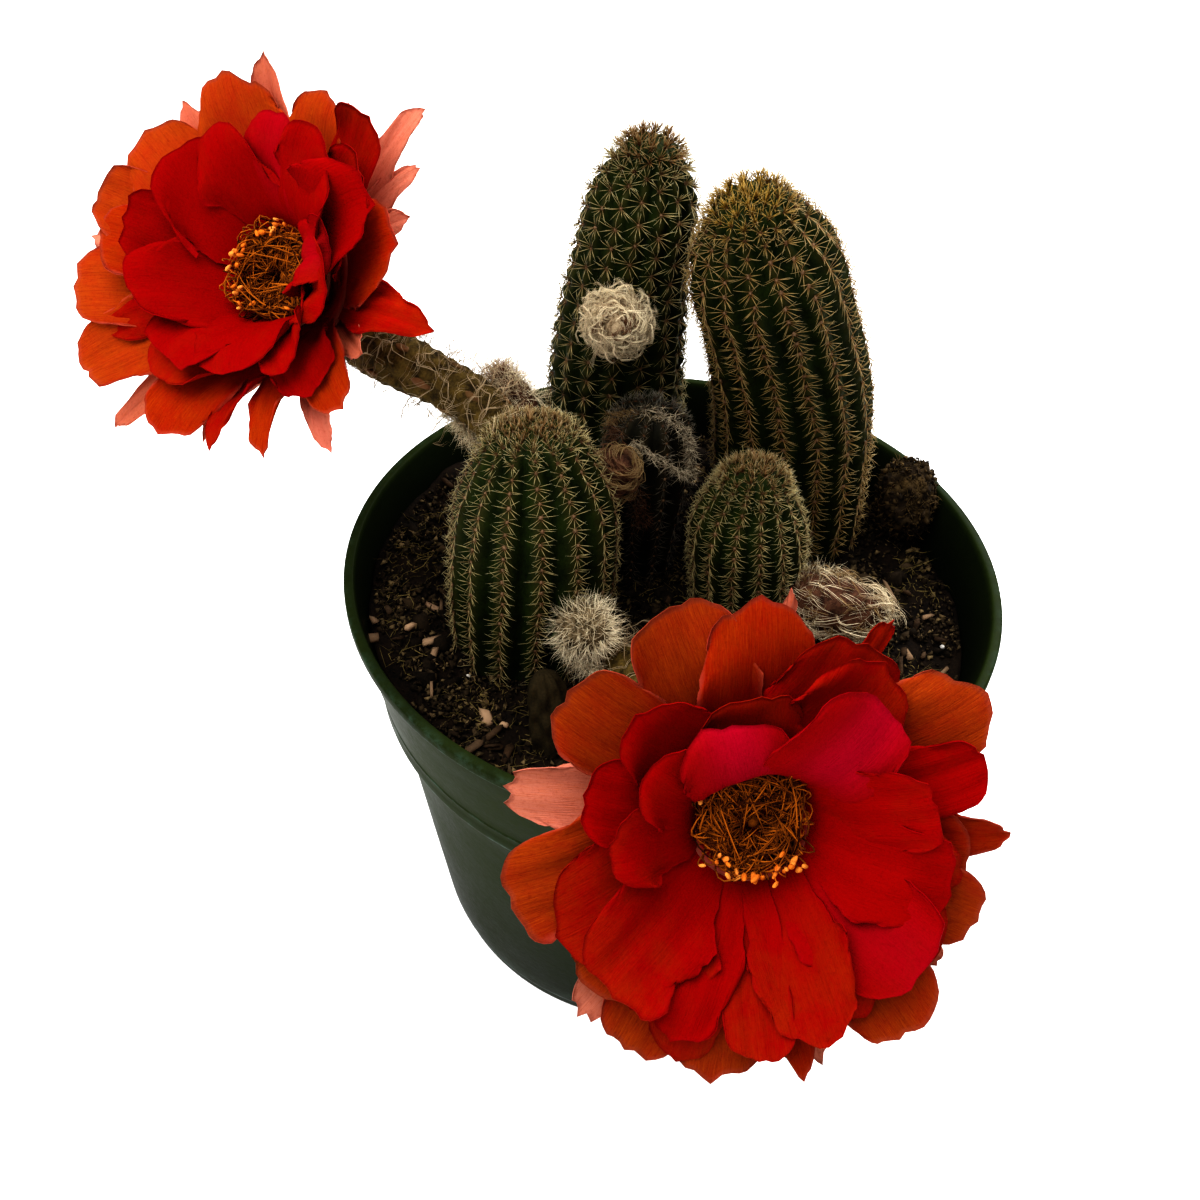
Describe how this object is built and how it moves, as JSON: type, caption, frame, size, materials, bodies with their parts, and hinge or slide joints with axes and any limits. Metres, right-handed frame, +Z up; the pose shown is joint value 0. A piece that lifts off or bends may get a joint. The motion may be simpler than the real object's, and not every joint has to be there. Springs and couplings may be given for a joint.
{
  "type": "potted peanut cactus",
  "caption": "Small cluster of ribbed, bristly cactus stems in soil in a round nursery pot, with long-tubed open blooms and woolly buds.",
  "frame": {"origin": "centre of the pot's flat base, on the surface it stands on", "axes": "+Z up along the pot's axis; -Y is the side the blooms face; +X is the right-hand side seen from there"},
  "size_m": [0.1737, 0.165, 0.1771],
  "materials": {
    "pot_plastic": "dark green moulded plastic, slightly glossy, with fine wear marks",
    "soil": "matte dark peat and bark potting mix",
    "bark": "matte brown bark and root crumbs",
    "cork": "matte corky brown-green dried stem",
    "stem_skin": "satin fleshy green skin with pale woolly areoles",
    "wool": "matte cream wool and fine hair",
    "bud_brown": "matte brown wool and fine hair",
    "tube_skin": "satin olive-brown skin with scales and tan hair",
    "petal_orange": "soft satin orange-red petal with fine veins",
    "petal_crimson": "soft satin crimson petal",
    "stamens": "satin yellow-olive filaments with orange pollen"
  },
  "bodies": {
    "root": {"pot": "pot_plastic", "soil": "soil", "bark_clump": "bark", "corky_stub": "cork", "stem_back_left": "stem_skin", "stem_back_right": "stem_skin", "stem_front_left": "stem_skin", "stem_front_small": "stem_skin", "stem_centre_pup": "stem_skin", "bud_back_woolly": "wool", "bud_middle_brown": "bud_brown", "bud_top_pale": "wool", "bud_front_woolly": "wool", "bud_right_woolly": "bud_brown", "left_bloom_tube": "tube_skin", "left_bloom_outer_petals": "petal_orange", "left_bloom_inner_petals": "petal_crimson", "left_bloom_stamens": "stamens", "front_bloom_tube": "tube_skin", "front_bloom_outer_petals": "petal_orange", "front_bloom_inner_petals": "petal_crimson", "front_bloom_stamens": "stamens"}
  },
  "joints": []
}
